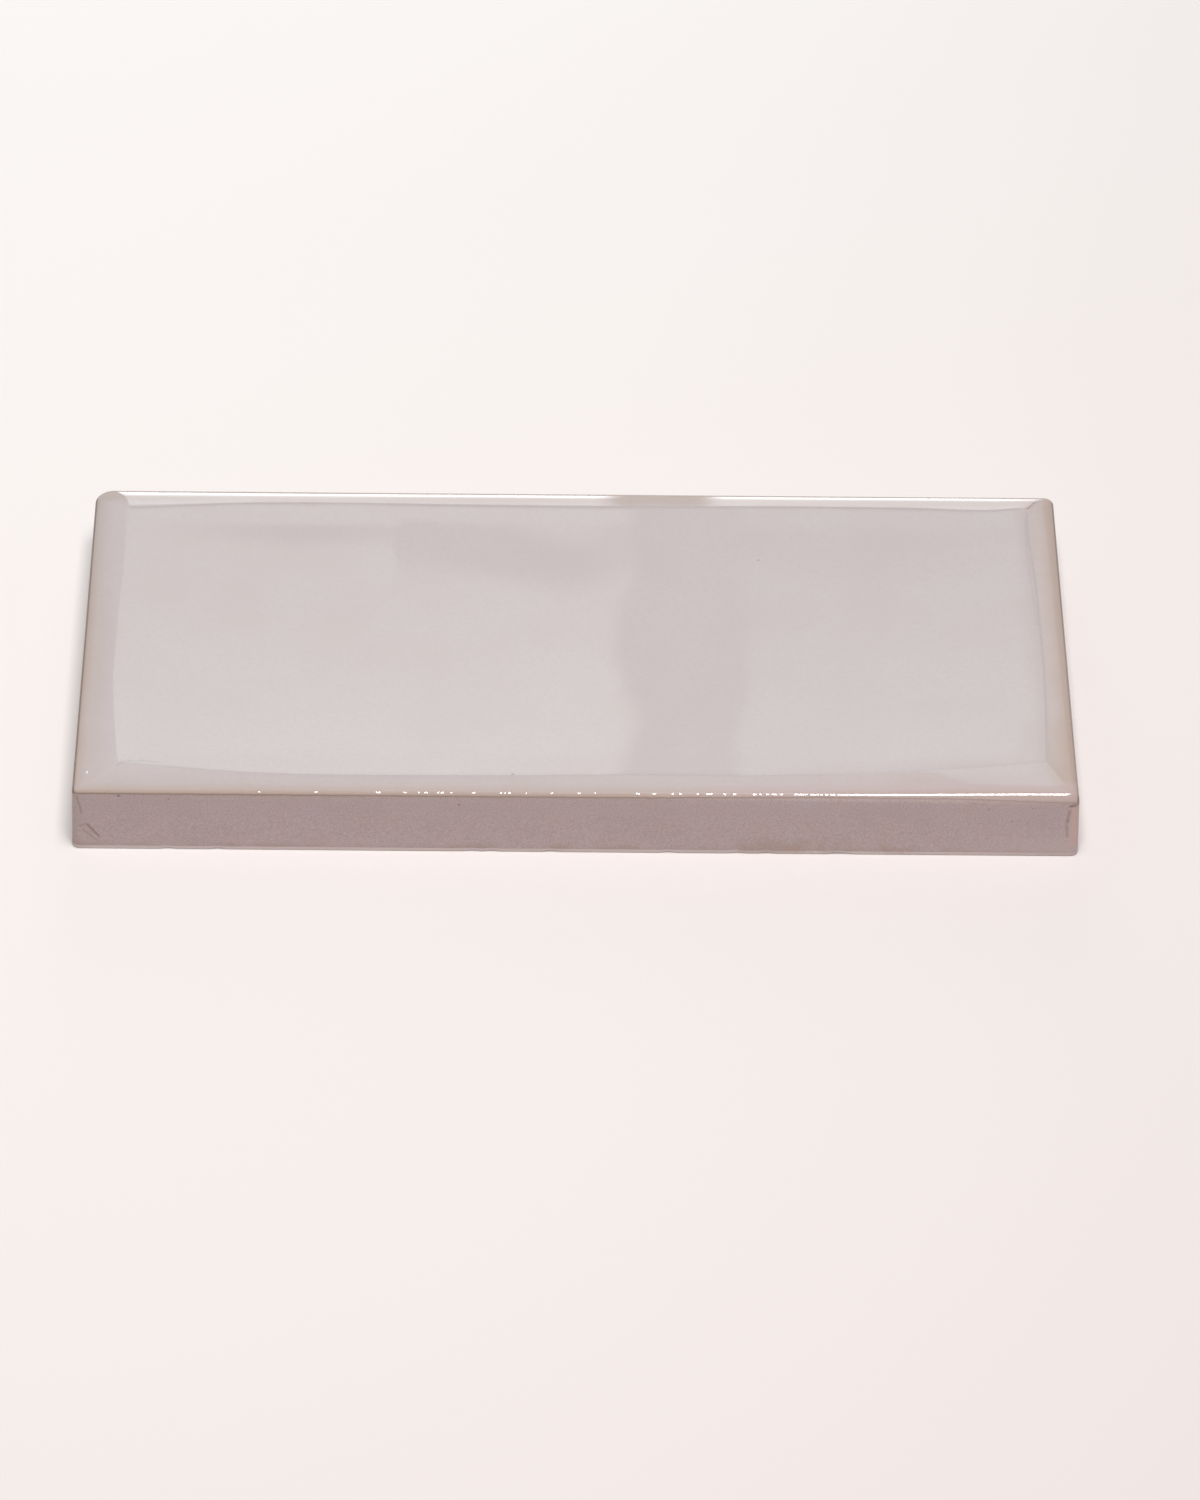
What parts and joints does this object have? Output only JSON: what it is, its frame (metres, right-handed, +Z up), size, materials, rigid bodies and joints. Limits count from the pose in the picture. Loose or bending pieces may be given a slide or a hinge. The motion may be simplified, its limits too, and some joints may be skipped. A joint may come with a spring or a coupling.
{
  "type": "ceramic brick tile",
  "caption": "Rectangular brick tile fired in one piece: gloss glazed face that rolls down at its edges, slightly leaning matt sides and a flat bare clay back to bed it by.",
  "frame": {"origin": "centre of the flat back that the tile lies on", "axes": "+X along the length, +Y along the width, +Z up out of the glazed face"},
  "size_m": [0.2, 0.1, 0.015],
  "materials": {
    "glazed_clay": "gloss pale mauve grey glaze on the face, thin matt glaze on the sides, bare fired clay on the back"
  },
  "bodies": {
    "root": {"brick_tile": "glazed_clay"}
  },
  "joints": []
}
